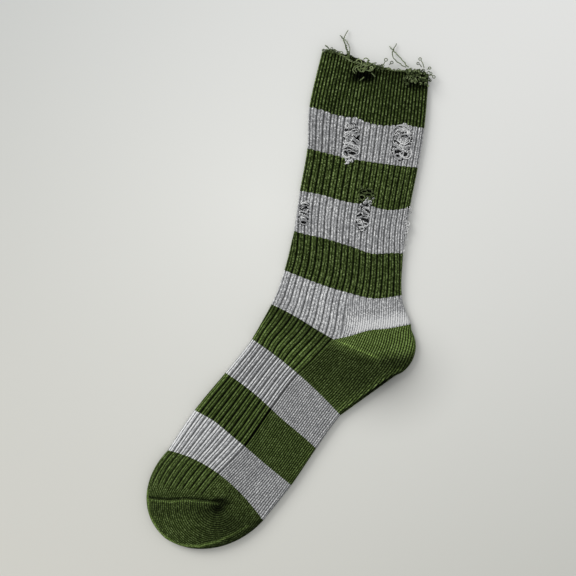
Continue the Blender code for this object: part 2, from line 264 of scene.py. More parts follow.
def rounded(front, middle, back, share):
    """A course that runs in a smooth bow from fold to fold."""
    control = middle * 2 - (front + back) / 2
    return front * (1 - share) ** 2 + control * 2 * share * (1 - share) + back * share**2


def round_the_tube(rows):
    """For every row and column: point, outward direction, share across, rib, upper layer, level."""
    front, middle, back, kink, height, level = (part[:, None] for part in rows)
    around = np.linspace(0, 1, COLUMNS + 1)[None, :]
    on_top = around <= 0.5
    length = np.linalg.norm(back - front, axis=2)
    radius = np.minimum(FOLD_HEIGHT, length * 0.8) / 2
    fold = math.pi * radius / 2
    layer = length - 2 * radius + 2 * fold
    along = np.where(on_top, around, 1 - around) * 2 * layer
    from_end = np.minimum(along, layer - along)
    angle = np.clip(from_end / radius, 0, math.pi / 2)
    near = np.where(from_end < fold, radius * (1 - np.cos(angle)), radius + from_end - fold)
    share = np.where(along < layer / 2, near, length - near) / length
    side = np.where(along < layer / 2, -1, 1) * np.cos(angle)
    lift = np.sin(angle)

    w, kink = share[..., None], kink[..., None]
    half = np.where(w < 0.5, middle - front, back - middle)
    flat = rounded(front, middle, back, w)
    flat = flat + (middle + half * (w * 2 - 1) - flat) * kink
    control = middle * 2 - (front + back) / 2
    slope = 2 * (1 - w) * (control - front) + 2 * w * (back - control)
    slope = slope + (half * 2 - slope) * kink
    across = slope / np.linalg.norm(slope, axis=2, keepdims=True)

    rib = rib_at(along / layer, level)
    rise = np.zeros_like(share)
    for place, course, wide, long, up in STRAYS:
        rise += up * peak(share, place, wide) * peak(level, course, long)
    for course in (1, 2, 3, 4, 5):
        rise -= 0.22 * np.cos(rib * 2 * math.pi) * peak(level, course, 0.05)
    turned = ease(level, LEG_ROUND, FOOT_ROUND)[..., None]
    flat = flat + (LEG_UP * (1 - turned) - FOOT_ALONG * turned) * rise[..., None]

    full = 2 * radius + (height - 2 * radius) * np.sin(math.pi * share) ** 0.5
    z = np.where(on_top, radius + (full - radius) * lift, radius - radius * lift)
    for start, end, width, depth in CREASES:
        _, t, away = beside(flat, start, end)
        ends = 0.35 + 0.65 * np.sin(math.pi * np.clip(t, 0, 1))
        z = z - on_top * lift * depth * ends * peak(away, 0, width)
    points = np.concatenate([flat, z[..., None]], axis=2)
    facing = np.where(on_top, 1, -1) * lift
    outward = np.concatenate([across * side[..., None], facing[..., None]], axis=2)
    rib = np.where(on_top, rib, RIBS * 2 + 2 * rib_at(0, level) - rib)
    return points, outward, share, rib, on_top & (share > 0), level


def soft_noise(x, y, seed):
    """Slow, even unevenness, from -1 to 1."""
    spin = random.Random(seed)
    total = np.zeros(np.broadcast(x, y).shape)
    for k in range(7):
        a, b, c = spin.uniform(-1, 1), spin.uniform(-1, 1), spin.uniform(0, FULL_TURN)
        total += np.sin(x * a * (1 + k * 0.35) + y * b * (1 + k * 0.35) + c)
    return total / 4.2


def rib_relief(rib, course, groove_width, seed, ragged=0.1, line=0.3):
    """How deep the knitting sinks, 0 to 1: a groove of purl wales at each whole number of rib."""
    at = np.mod(rib + 0.5 + 0.022 * soft_noise(rib * 3, course * 0.6, seed), 1) - 0.5
    uneven = 1 + 0.2 * soft_noise(np.round(rib) * 2.1, course * 0.2, seed + 1)
    groove = np.exp(-np.abs(at / (groove_width * uneven)) ** 2.4)
    groove = groove * (1 - ragged + ragged * soft_noise(np.round(rib) * 3.3, course * 0.9, seed + 2))
    between = line * peak(np.abs(at), 0.5, 0.07)
    between = between * (1 + 0.7 * soft_noise(np.floor(rib) * 2.7, course * 0.5, seed + 3))
    return np.clip(groove + between, 0, 1)


def edit_vertices(mesh, chosen, operator, **settings):
    """Runs an edit mode operator on the chosen vertices alone."""
    bpy.ops.object.mode_set(mode="EDIT")
    bpy.ops.mesh.select_mode(type="VERT")
    bpy.ops.mesh.select_all(action="DESELECT")
    bpy.ops.object.mode_set(mode="OBJECT")
    mesh.vertices.foreach_set("select", chosen)
    bpy.ops.object.mode_set(mode="EDIT")
    operator(**settings)
    bpy.ops.object.mode_set(mode="OBJECT")


def knit_piece(name, cloth, points, wales, courses, depth, tone, plain, quiet, gone=False):
    """A tube of stitches that faces outwards, with its stitch map, and its edges and holes open."""
    rows, columns = points.shape[0] - 1, points.shape[1] - 1
    bpy.ops.object.select_all(action="DESELECT")
    bpy.ops.mesh.primitive_grid_add(x_subdivisions=columns, y_subdivisions=rows, size=1)
    piece = bpy.context.object
    piece.name = piece.data.name = name
    mesh, shape = piece.data, points.shape[:2]
    placed = (points - (*CENTRE, 0)) * MM
    mesh.vertices.foreach_set("co", placed.reshape(-1).astype(np.float32))
    mesh.uv_layers[0].name = "knit"
    corners = np.zeros(len(mesh.loops), dtype=np.int32)
    mesh.loops.foreach_get("vertex_index", corners)
    stitch = np.stack([np.broadcast_to(wales, shape), np.broadcast_to(courses, shape)], axis=2)
    stitch = stitch.reshape(-1, 2)[corners].astype(np.float32)
    mesh.uv_layers[0].data.foreach_set("uv", stitch.reshape(-1))
    for title, values in (("depth", depth), ("tone", tone), ("plain", plain), ("quiet", quiet)):
        values = np.broadcast_to(values, shape).astype(np.float32)
        mesh.attributes.new(title, "FLOAT", "POINT").data.foreach_set("value", values.reshape(-1))
    mesh.materials.append(cloth)
    edit_vertices(mesh, np.broadcast_to(gone, shape).reshape(-1), bpy.ops.mesh.delete, type="VERT")
    every = np.ones(len(mesh.vertices), dtype=bool)
    edit_vertices(mesh, every, bpy.ops.mesh.remove_doubles, threshold=0.00001)
    mesh.flip_normals()
    bpy.ops.object.shade_smooth()
    return piece


# The stitches: V after V of yarn. The gaps between them are painted dark, as painted shade, and the
# tips of some stitches carry a painted highlight.
LIGHTEST = (0.94, 0.94, 0.93)    # no stitch gets lighter than this
stitches = bpy.data.node_groups.new("knit_stitches", "ShaderNodeTree")
for title in ("Yarn", "Between", "Lit"):
    stitches.interface.new_socket(title, in_out="INPUT", socket_type="NodeSocketColor")
for title in ("Melange", "Groove", "Lines"):
    stitches.interface.new_socket(title, in_out="INPUT", socket_type="NodeSocketFloat")
stitches.interface.new_socket("Color", in_out="OUTPUT", socket_type="NodeSocketColor")
stitches.interface.new_socket("Height", in_out="OUTPUT", socket_type="NodeSocketFloat")
given, handed = stitches.nodes.new("NodeGroupInput").outputs, stitches.nodes.new("NodeGroupOutput").inputs
stitch_map = new_node(stitches, "ShaderNodeUVMap", {}, uv_map="knit")
wale, course, _ = new_node(stitches, "ShaderNodeSeparateXYZ", {0: stitch_map["UV"]})


def stitch_math(operation):
    """One kind of math node in the group of the stitches."""
    return lambda *values: math_node(stitches, operation, *values)


times, plus, minus, scaled = map(stitch_math, ("MULTIPLY", "ADD", "SUBTRACT", "MULTIPLY_ADD"))
least, most, floor, amount = map(stitch_math, ("MINIMUM", "MAXIMUM", "FLOOR", "ABSOLUTE"))
sine, cosine, power = map(stitch_math, ("SINE", "COSINE", "POWER"))
fraction, above = map(stitch_math, ("FRACT", "GREATER_THAN"))


def chance_for(across, along):
    """An even chance from 0 to 1 for each cell."""
    cell = new_node(stitches, "ShaderNodeCombineXYZ", {"X": floor(across), "Y": floor(along)})
    noise = new_node(stitches, "ShaderNodeTexWhiteNoise", {"Vector": cell[0]}, noise_dimensions="2D")
    return noise["Value"]


def speckle(tree, scale, detail, low, high):
    """Noise spread out to the whole of 0 to 1."""
    place = new_node(tree, "ShaderNodeTexCoord", {})["Object"]
    noise = new_node(tree, "ShaderNodeTexNoise", {"Vector": place, "Scale": scale, "Detail": detail})
    spread = {"Value": noise["Fac"], "From Min": low, "From Max": high}
    return new_node(tree, "ShaderNodeMapRange", spread)["Result"]


deep, tone, plain, quiet = (
    new_node(stitches, "ShaderNodeAttribute", {}, attribute_name=title)["Fac"]
    for title in ("depth", "tone", "plain", "quiet")
)
fibre = speckle(stitches, scale=900, detail=2, low=0.32, high=0.68)
patchy = speckle(stitches, scale=60, detail=2, low=0.3, high=0.7)
# Each stitch is a V of two legs, which lean from the middle of the wale, high in the middle of each.
from_middle = amount(minus(fraction(wale), 0.5))
slant = scaled(from_middle, -1.3, course)
leg = power(sine(scaled(from_middle, 5, 0.6)), 0.6)
height = times(leg, scaled(amount(sine(times(slant, math.pi))), 0.7, 0.3))
# From the Between colour to the Yarn colour with the height of the stitch: painted shade in the gaps.
body = mix_node(stitches, "MIX", height, given["Between"], given["Yarn"])
# Each strand has its own tone, and the lightest ones carry a painted highlight in the Lit colour.
bead_chance = chance_for(wale, scaled(floor(wale), 0.37, times(course, 0.6)))
strands_across = minus(3, above(plain, 0.7))
leg_chance = chance_for(times(wale, strands_across), slant)
several = scaled(bead_chance, 0.08, scaled(leg_chance, 0.6, scaled(fibre, 0.26, 0.04)))
tips = times(least(most(scaled(several, 3.2, -1.75), 0), 1), height)
body = mix_node(stitches, "MIX", times(tips, scaled(quiet, -0.6, 0.68)), body, given["Lit"])
swing = times(times(minus(several, 0.5), given["Melange"]), scaled(quiet, -1, 1))
uneven = most(plus(swing, 1), 0.05)
worn = scaled(minus(patchy, 0.5), 0.12, 1)
# The grooves between the ribs are painted dark, as painted shade, with ragged borders.
ragged = times(times(deep, minus(1, deep)), scaled(leg_chance, 2, -1))
deep = least(most(plus(deep, ragged), 0), 1)
painted_groove_shade = minus(1, times(deep, given["Groove"]))
# In the plain knitting each wale shows as a fine line of stitches.
line = cosine(times(wale, 2 * math.pi))
dots = amount(sine(times(scaled(floor(wale), 0.5, times(course, 0.55)), math.pi)))
lines = times(times(scaled(dots, 0.6, scaled(line, -0.7, -0.38)), plain), given["Lines"])
worn = times(worn, most(plus(lines, 1), 0.04))
level = times(times(uneven, worn), times(painted_groove_shade, tone))
body = mix_node(stitches, "DARKEN", 1, mix_node(stitches, "MULTIPLY", 1, body, level), LIGHTEST)
stitches.links.new(body, handed["Color"])
stitches.links.new(scaled(fibre, 0.3, height), handed["Height"])


def add_bump(tree, shader, height, distance):
    """The relief that is too fine for the mesh."""
    bump = new_node(tree, "ShaderNodeBump", {"Distance": distance, "Height": height})
    tree.links.new(bump["Normal"], shader.inputs["Normal"])


def knitted_cloth(name, **looks):
    """A cloth of one yarn: its own colours, and how uneven, grooved and lined it looks."""
    cloth, tree, shader = new_material(name, roughness=0.92, specular=0.03)
    looks = {title.capitalize(): value for title, value in looks.items()}
    group = new_node(tree, "ShaderNodeGroup", looks, node_tree=stitches)
    # Inner faces are painted darker, as painted shade inside the sock, seen through the mouth and the holes.
    side = new_node(tree, "ShaderNodeNewGeometry", {})
    painted_inside_shade = math_node(tree, "MULTIPLY", side["Backfacing"], 0.8)
    shaded = mix_node(tree, "MULTIPLY", painted_inside_shade, group["Color"], (0, 0, 0))
    tree.links.new(shaded, shader.inputs["Base Color"])
    add_bump(tree, shader, group["Height"], distance=0.0005)
    return cloth


# Between is the painted shade in the gaps between stitches, Lit the painted highlight on their tips, and
# Groove how dark the grooves are painted, as painted shade.
green_cloth = knitted_cloth(
    "green_knit", yarn=(0.085, 0.126, 0.032), between=(0.005, 0.01, 0.001), lit=(0.185, 0.24, 0.1),
    melange=2.3, groove=0.995, lines=1.5,
)
grey_cloth = knitted_cloth(
    "grey_melange_knit", yarn=(0.495, 0.5, 0.505), between=(0.13, 0.132, 0.136), lit=(0.9, 0.9, 0.89),
    melange=1.5, groove=0.56, lines=0.7,
)

CUFF_ROWS = 56
CUFF_LENGTH = 40.5
CUFF_LINES = 35             # ribs of the cuff across a layer
CUFF_RIB_DEPTH = 0.7
CUFF_WALL = 1.5
LIP_ROWS = 8
LIP_SHOWN = 0.2            # how far the inside shows, as a share of the cuff
TORN_DEPTH = 1.7


def edge_reach(share, upper):
    """How far the raw edge stands past its course."""
    steps = np.linspace(0, 1, len(EDGE_UPPER))
    return np.where(upper, np.interp(share, steps, EDGE_UPPER), np.interp(share, steps, EDGE_LOWER))


def wear_the_edge(points, share, level, upper):
    """Pulls the first courses up or down to the raw edge, with some slow unevenness."""
    reach = edge_reach(share, upper) + 0.45 * soft_noise(share * 90, upper * 5, 8)
    points[..., :2] += LEG_UP * (reach * (1 - ease(level, 0, 0.35)))[..., None]


def torn_place(points, middle, reach):
    """1 where the cloth is torn down under a tuft, with a soft border; there it is also painted dark as
    shade.
    """
    x, y = (points[..., k] - middle[k] for k in (0, 1))
    return np.exp(-((x / reach[0]) ** 4) - (y / reach[1]) ** 4)


rows = rows_between(RAW_EDGE, np.linspace(0, 1, CUFF_ROWS + 1))
points, outward, share, rib, on_top, level = round_the_tube(rows)
courses = np.linspace(0, CUFF_LENGTH, CUFF_ROWS + 1)[:, None]
rib = np.where(on_top, share, 2 - share) * CUFF_LINES + 0.5
sink = 0.93 * rib_relief(rib, courses, groove_width=0.27, seed=11, ragged=0.04, line=0)
points = points - outward * (sink * CUFF_RIB_DEPTH)[..., None]
wear_the_edge(points, share, level, on_top)
# Under the middle tuft and the back one the cloth sinks, and its colour is painted nearly black there:
# painted shade.
torn_and_shaded = torn_place(points, (55, 162), (9.8, 5)) + 0.8 * torn_place(points, (94.5, 158.5), (9.5, 6))
torn_and_shaded = torn_and_shaded * on_top
points[..., 2] -= TORN_DEPTH * torn_and_shaded
# Painted light and shade in the cuff's colour: lighter along the raw edge, a painted highlight on the front
# fold, and painted shade below the frayed back half of the edge.
tone = 0.79 + (0.5 * peak(level, 0.01, 0.02) + 0.3 * (1 - ease(share, 0.04, 0.16))) * on_top
tone = tone - 0.25 * (1 - ease(level, 0.12, 0.42)) * ease(share, 0.3, 0.5) * on_top

# The inside of the cuff shows in the mouth under the raw edge. Its colour is painted darker there, through a
# depth of 0.75, as painted shade.
lip = round_the_tube(rows_between(RAW_EDGE, np.linspace(LIP_SHOWN, 0, LIP_ROWS)))
inner, inner_out, inner_share, _, inner_top, inner_level = lip
inner = inner - inner_out * CUFF_WALL
wear_the_edge(inner, inner_share, inner_level, inner_top)
inner_rib = np.where(inner_top, inner_share, 2 - inner_share) * CUFF_LINES + 0.5
cuff = knit_piece(
    "cuff_knit", green_cloth, np.concatenate([inner, points]), np.concatenate([inner_rib, rib]),
    np.concatenate([np.linspace(-6, -1, LIP_ROWS)[:, None], courses]),
    depth=np.concatenate([np.full(inner_rib.shape, 0.75), sink]),
    tone=np.concatenate([np.full(inner_rib.shape, 0.9), tone * (1 - 0.96 * torn_and_shaded)]), plain=0.4, quiet=0,
)
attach(cuff, "root")
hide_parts("cuff_rib_green")

# ---- leg and ankle stripes
# The same tube goes on in a wide 2x2 rib, grey and green by turns, with no seam between, as the yarn
# changes at the end of a round. Where wales have dropped, the stitches have run into open ladders.
CLOTHS = {"grey_yarn": grey_cloth, "green_yarn": green_cloth}    # the cloth knitted of each yarn
Stripe = namedtuple("Stripe", "name node course slot length tone rows", defaults=[42])
LEG_STRIPES = [
    Stripe("leg_grey_1", "leg_grey_upper", 1, "grey_yarn", 30, 0.91),
    Stripe("leg_green_2", "leg_green_upper", 2, "green_yarn", 31, 1),
    Stripe("leg_grey_3", "leg_grey_lower", 3, "grey_yarn", 31, 1.04),
    Stripe("leg_green_4", "leg_green_lower", 4, "green_yarn", 32, 0.95),
    Stripe("ankle_grey_5", "ankle_grey", 5, "grey_yarn", 30, 1.18),
]
MAP_STEP = 50               # between stripes on the stitch map, so that no two look alike
RIB_DEPTH = 1
PLAIN_DEPTH = 0.3           # how far the plain knitting lies below the tops of the ribs
SHOWN_WALES = 2             # of the four wales of a rib; the other two lie in its groove
PLAIN_WALE = 1.62           # how wide a wale is in the plain knitting
ROUND_FOLDS = 0.57 * FOLD_HEIGHT    # what the folds add to the flat width of a layer

# A ladder: the middle and half width of its run as shares across the layer, where it starts and
# ends as shares of its stripe, and how far its rungs bow up the leg. Its open holes have a place, as
# shares of the layer and of the stripe, a width and a length.
Ladder = namedtuple("Ladder", "name stripe middle half start end bow holes")
LADDERS = [
    Ladder("run_front", "leg_grey_1", 0.39, 0.068, 0.12, 0.95, -0.4, (
        (0.35, 0.85, 3, 1.9), (0.41, 0.85, 5, 2.5), (0.376, 0.8, 3.2, 1.2), (0.396, 0.23, 2.4, 1.2),
        (0.43, 0.25, 1.8, 1.4), (0.346, 0.42, 1.8, 1), (0.352, 0.68, 2, 1.1))),
    Ladder("run_back", "leg_grey_1", 0.827, 0.078, 0, 0.86, 1.6, (
        (0.782, 0.7, 4.6, 2.4), (0.808, 0.75, 3, 1.8), (0.862, 0.69, 4.4, 3.2),
        (0.8, 0.05, 3, 1.1), (0.85, 0.06, 2.6, 1), (0.782, 0.2, 1.8, 1))),
    Ladder("run_green", "leg_green_2", 0.6, 0.066, 0.64, 1, 0.8, (
        (0.572, 0.7, 3, 1.6), (0.558, 0.84, 3.4, 2.4), (0.618, 0.76, 3.6, 1.8), (0.645, 0.92, 2.6, 2))),
    Ladder("run_middle", "leg_grey_3", 0.598, 0.054, 0, 0.6, 0.6, (
        (0.568, 0.48, 2.4, 1.7), (0.626, 0.43, 2.6, 1.6), (0.602, 0.27, 2.8, 1.1))),
    Ladder("run_fold", "leg_grey_3", 0.068, 0.042, 0.22, 0.8, 1.2, (
        (0.064, 0.29, 3.8, 1.2), (0.074, 0.73, 4, 2.2), (0.1, 0.42, 1.3, 1))),
]


def run_half(ladder, along):
    """How wide a ladder lies open, to each side of its middle, at a place along its stripe."""
    at = np.abs((along - ladder.start) / (ladder.end - ladder.start) * 2 - 1)
    wobble = 1 + 0.12 * soft_noise(along * 34, 0, len(ladder.name))
    return ladder.half * wobble * np.sqrt(np.clip(1 - at**3.5, 0, 1))


def count_wales(rows, rib, share, first=16, edge=0.5):
    """The wales in the ribs, and past an edge across the layer the plain ones, round the folds too."""
    wound = 1 - np.abs(np.linspace(-1, 1, COLUMNS + 1))[None, :]
    layer = np.linalg.norm(rows[2] - rows[0], axis=1)[:, None] + ROUND_FOLDS
    return np.where(share > edge, first + (wound - edge) * layer / PLAIN_WALE, rib * SHOWN_WALES)


def sink_in(points, outward, sink, ribbed):
    """Lets the grooves and the plain knitting lie below the tops of the ribs."""
    return points - outward * (sink * RIB_DEPTH + (1 - ribbed) * PLAIN_DEPTH)[..., None]


stripe_points = {}
for number, stripe in enumerate(LEG_STRIPES):
    grey, ankle = stripe.slot == "grey_yarn", stripe.name == "ankle_grey_5"
    along = np.linspace(0, 1, stripe.rows + 1)[:, None]
    rows = rows_between(stripe.course, along[:, 0])
    points, outward, share, rib, on_top, _ = round_the_tube(rows)
    courses = along * stripe.length + MAP_STEP * number
    ribbed, wales = np.ones_like(share), rib * SHOWN_WALES
    if ankle:
        ribbed = 1 - ease(share, 0.515, 0.56) * ease(along + 0.1 * soft_noise(share * 8, 0, 5), -0.1, 0.35)
        wales = count_wales(rows, rib, share, 20, 0.54)
    groove, ragged = (0.15, 0.14) if grey else (0.18, 0.1)
    line = 0.16 + 0.1 * ease(share, 0.5, 0.75)
    sink = rib_relief(rib, courses, groove, 20 + number, ragged, line) * ribbed
    points = sink_in(points, outward, sink, ribbed)
    stripe_points[stripe.name] = (points, share)
    tone, plain, quiet = stripe.tone, 1 - 0.6 * ribbed, 0.25 - (0.1 if grey else 0.25) * ribbed
    if stripe.name == "leg_grey_1":
        tone = tone + 0.13 * ease(share, 0.3, 0.6) * on_top
    if ankle:
        # Above the heel the grey is painted lighter and quieter: a painted highlight, where the cloth lifts
        # towards the light.
        highlight_above_heel = ease(share, 0.53, 0.72) * ease(along, 0.32, 0.82) * on_top
        last_round = ease(share, 0.5, 0.52) * ease(along, 0.91, 0.945) * on_top
        comb = np.cos(wales * 1.4 * math.pi)
        tone = tone + highlight_above_heel * (1.6 - 1.35 * last_round) + (0.3 - 1.1 * comb) * last_round
        tone = tone - 0.12 * (1 - ribbed) * on_top
        plain, quiet = plain - 0.27 * highlight_above_heel, quiet + 0.35 * highlight_above_heel
    gone = np.zeros(share.shape, dtype=bool)
    for ladder in LADDERS:
        if ladder.stripe == stripe.name:
            gone |= (np.abs(share - ladder.middle) < run_half(ladder, along)) & on_top
    cloth = CLOTHS[stripe.slot]
    piece = knit_piece(stripe.name, cloth, points, wales, courses, sink, tone, plain, quiet, gone)
    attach(piece, "root")
    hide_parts(stripe.node)

# ---- dropped stitches
# In a ladder the yarn of each course lies bare across the gap, still crimped from its stitches.
# Worn ends, loops and small tufts hang round the holes.
RUNG_SPACING = 1.4
RUNG_TUCK = 0.016           # how far a rung reaches into the cloth beside it, as a share across
WALES = RIBS * 4            # across a layer
LADDER_YARN, TUFT_YARN = 0.29, 0.3    # the radius of the bare yarn
YARN_HEIGHT = 4.9           # of the strands that lie over the upper layer
LEG_ACROSS = np.array((0.99, -0.13))

# Strands that stand out in a ladder, given one by one, and the middle of the eddy in the second one.
LAID_YARNS = {
    "run_front": (
        ((41.6, 113.8), (44, 116.6), (47.6, 115.4), (50.8, 112.8), (52.6, 112.4)),
        ((39.2, 109.4), (41.6, 110), (44.6, 112.4), (47.4, 112.8)),
        ((39.6, 113.4), (42.4, 113), (45.2, 114.2), (46.8, 117)),
        ((46, 111.6), (49.6, 110.6), (51.6, 108), (50.6, 105), (47.4, 103.6)),
        ((39, 106.4), (40.2, 103.8), (42.8, 102.6), (45.4, 103.6), (48.4, 102.2)),
        ((40.4, 119.6), (43.4, 121.4), (46.6, 120.4), (49.8, 121.6)),
    ),
    "run_back": (
        ((76.4, 107), (77, 103.8), (79.8, 101.8), (82.8, 103.4), (83.6, 106.6)),
        ((82, 104.6), (84.2, 101.8), (87.8, 102.2), (89.2, 105.4), (88.6, 108.6)),
        ((75.6, 122.4), (79.4, 125.6), (84.6, 125.8), (89, 122.8)),
        ((77, 120), (80.6, 123.2), (85, 123.4), (88.6, 120.4)),
    ),
}
EDDY = np.array((83.8, 116, YARN_HEIGHT))


def smooth_path(places, shares):
    """A smooth curve through places, at shares from 0 to 1 of the way along it."""
    places = np.array(places, dtype=float)
    places = np.concatenate([2 * places[:1] - places[1:2], places, 2 * places[-1:] - places[-2:-1]])
    at = np.clip(np.asarray(shares), 0, 1) * (len(places) - 3)
    i = np.minimum(at.astype(int), len(places) - 4)
    s = (at - i)[:, None]
    return bend_between(*(places[i + k] for k in range(4)), s)


def yarn_shades(name, *shades):
    """Light, middle and dark shades of a bare yarn, with darker and lighter fibres: partly painted light and
    shade.
    """
    yarns = []
    for title, (dark, light) in zip((name + "_light", name, name + "_dark"), shades):
        yarn, tree, shader = new_material(title, roughness=0.9, specular=0.15)
        shader.inputs["Sheen Weight"].default_value = 0.1
        long_run = speckle(tree, scale=330, detail=1, low=0.3, high=0.7)
        short_run = speckle(tree, scale=1400, detail=2, low=0.3, high=0.7)
        fibres = math_node(tree, "MULTIPLY", long_run, 0.55)
        fibres = math_node(tree, "MULTIPLY_ADD", short_run, 0.45, fibres)
        tree.links.new(mix_node(tree, "MIX", fibres, dark, light), shader.inputs["Base Color"])
        add_bump(tree, shader, short_run, distance=0.0002)
        yarns.append(yarn)
    return yarns


bare_grey = yarn_shades(
    "bare_grey_yarn",
    ((0.62, 0.625, 0.63), (0.97, 0.97, 0.96)),
    ((0.25, 0.253, 0.26), (0.74, 0.745, 0.74)),
    ((0.12, 0.122, 0.128), (0.45, 0.455, 0.46)),
)
bare_green = yarn_shades(
    "bare_green_yarn",
    ((0.075, 0.11, 0.03), (0.26, 0.32, 0.15)),
    ((0.032, 0.055, 0.01), (0.135, 0.175, 0.062)),
    ((0.01, 0.019, 0.003), (0.07, 0.1, 0.03)),
)


def yarn_piece(name, strands, shades, radius, nodes=()):
    """Strands of yarn as one piece, in chance shades. Each strand is a path in millimetres."""
    spin = random.Random(name)
    curve = bpy.data.curves.new(name, "CURVE")
    curve.dimensions = "3D"
    curve.bevel_depth, curve.bevel_resolution = radius * MM, 0
    curve.use_fill_caps = True
    for shade in shades:
        curve.materials.append(shade)
    for strand in strands:
        places = np.array(strand, dtype=float)
        places[:, :2] -= CENTRE
        places[:, 2] = np.maximum(places[:, 2], radius + 0.02)
        line = curve.splines.new("POLY")
        line.material_index = spin.randrange(len(shades))
        line.points.add(len(places) - 1)
        line.points.foreach_set("co", np.column_stack([places * MM, np.ones(len(places))]).reshape(-1))
    piece = bpy.data.objects.new(name, curve)
    bpy.context.scene.collection.objects.link(piece)
    bpy.ops.object.select_all(action="DESELECT")
    piece.select_set(True)
    bpy.context.view_layer.objects.active = piece
    bpy.ops.object.convert(target="MESH")
    piece = bpy.context.object
    piece.name = piece.data.name = name
    bpy.ops.object.shade_smooth()
    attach(piece, "root")
    if nodes:
        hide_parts(*nodes)


def on_cloth(stripe_name, along, shares):
    """Where the upper layer of a stripe lies, at one share down the stripe and several across."""
    points, share = stripe_points[stripe_name]
    at = min(max(along, 0), 1) * (len(points) - 1)
    row = min(int(at), len(points) - 2)
    upper = slice(0, COLUMNS // 2 + 1)
    found = []
    for r in (row, row + 1):
        found.append([np.interp(shares, share[r, upper], points[r, upper, k]) for k in range(3)])
    return (np.array(found[0]) * (row + 1 - at) + np.array(found[1]) * (at - row)).T


def either_way(spin, low, high):
    """A chance amount, to one side or the other."""
    return spin.choice((-1, 1)) * spin.uniform(low, high)


def curl(spin, start, heading, length, turn, lift, steps=12):
    """One curled end or loop of yarn, from its start in the cloth."""
    t = np.linspace(0, 1, steps)
    angle = heading + turn * t**1.3
    line = np.cumsum(np.stack([np.cos(angle), np.sin(angle)], axis=1), axis=0) * length / steps
    z = start[2] + lift * np.sin(math.pi * t * 0.9) + spin.uniform(-0.2, 0.2) * t
    return np.column_stack([np.array(start[:2]) + line, z])


def from_hole(path, centre, width, length):
    """How far a strand lies from the middle of a hole, as shares of its width and of its length."""
    away = path[:, :2] - centre[:2]
    return away @ LEG_ACROSS / width, away @ LEG_UP / length


def part_round(path, centre, width, length):
    """Moves a strand off an open hole, all to the side on which it mostly lies."""
    across, along = from_hole(path, centre, width, length)
    near = np.abs(across) < 0.6
    if near.any():
        side = 1 if along[near].mean() > 0 else -1
        moved = np.maximum(along * side, np.sqrt(np.maximum(0, 0.36 - across**2))) * side
        path[:, :2] += LEG_UP * (np.where(near, moved - along, 0) * length)[:, None]


def round_hole(spin, centre, width, length, sweep):
    """A loop of yarn that lies round a hole, from a chance start through a sweep."""
    t = np.linspace(0, 1, int(6 + abs(sweep) * 5))
    turn = spin.uniform(0, FULL_TURN) + sweep * t
    wide = spin.uniform(1.15, 1.5) + 0.1 * np.sin(t * 15 + spin.uniform(0, 6))
    across, up = np.cos(turn) * wide * width / 2, np.sin(turn) * wide * length / 2
    z = centre[2] + 0.35 + spin.uniform(0, 0.4) * np.sin(math.pi * t)
    return np.column_stack([centre[:2] + LEG_ACROSS * across[:, None] + LEG_UP * up[:, None], z])


def bare_rung(spin, stripe, ladder, along, openings):
    """The yarn of one dropped course, which lies across the ladder and is here and there broken."""
    reach = float(run_half(ladder, np.array(along))) + RUNG_TUCK
    t = np.linspace(-1, 1, int(reach * 900) + 8)
    shares = ladder.middle + t * reach
    path = on_cloth(stripe.name, along, shares)
    wale, inner = shares * WALES, 1 - t**4
    wave = wale * FULL_TURN * spin.uniform(0.5, 0.9) + 0.9 * np.sin(wale * 1.3 + spin.uniform(0, 6))
    wave = wave + spin.uniform(0, 6)
    down = spin.uniform(0.35, 0.8) * np.sin(wave)
    down = down + 0.7 * np.sin(wale * spin.uniform(0.3, 0.9) + spin.uniform(0, 6))
    bow = ladder.bow * np.clip((along - ladder.start) * 6, 0, 1) * (1 if along < 0.45 else -0.5)
    path[:, :2] -= LEG_UP * (down * inner + spin.uniform(-1.1, 1.1) * t - bow * (1 - t**2))[:, None]
    path[:, 2] += inner * (0.05 + spin.uniform(0.2, 0.6) * np.cos(wave + 1)) - (1 - inner) * 0.6
    for opening in openings:
        part_round(path, *opening)
    if spin.random() < 0.3:
        path = path[: len(path) * 2 // 3] if spin.random() < 0.5 else path[len(path) // 3 :]
    return path


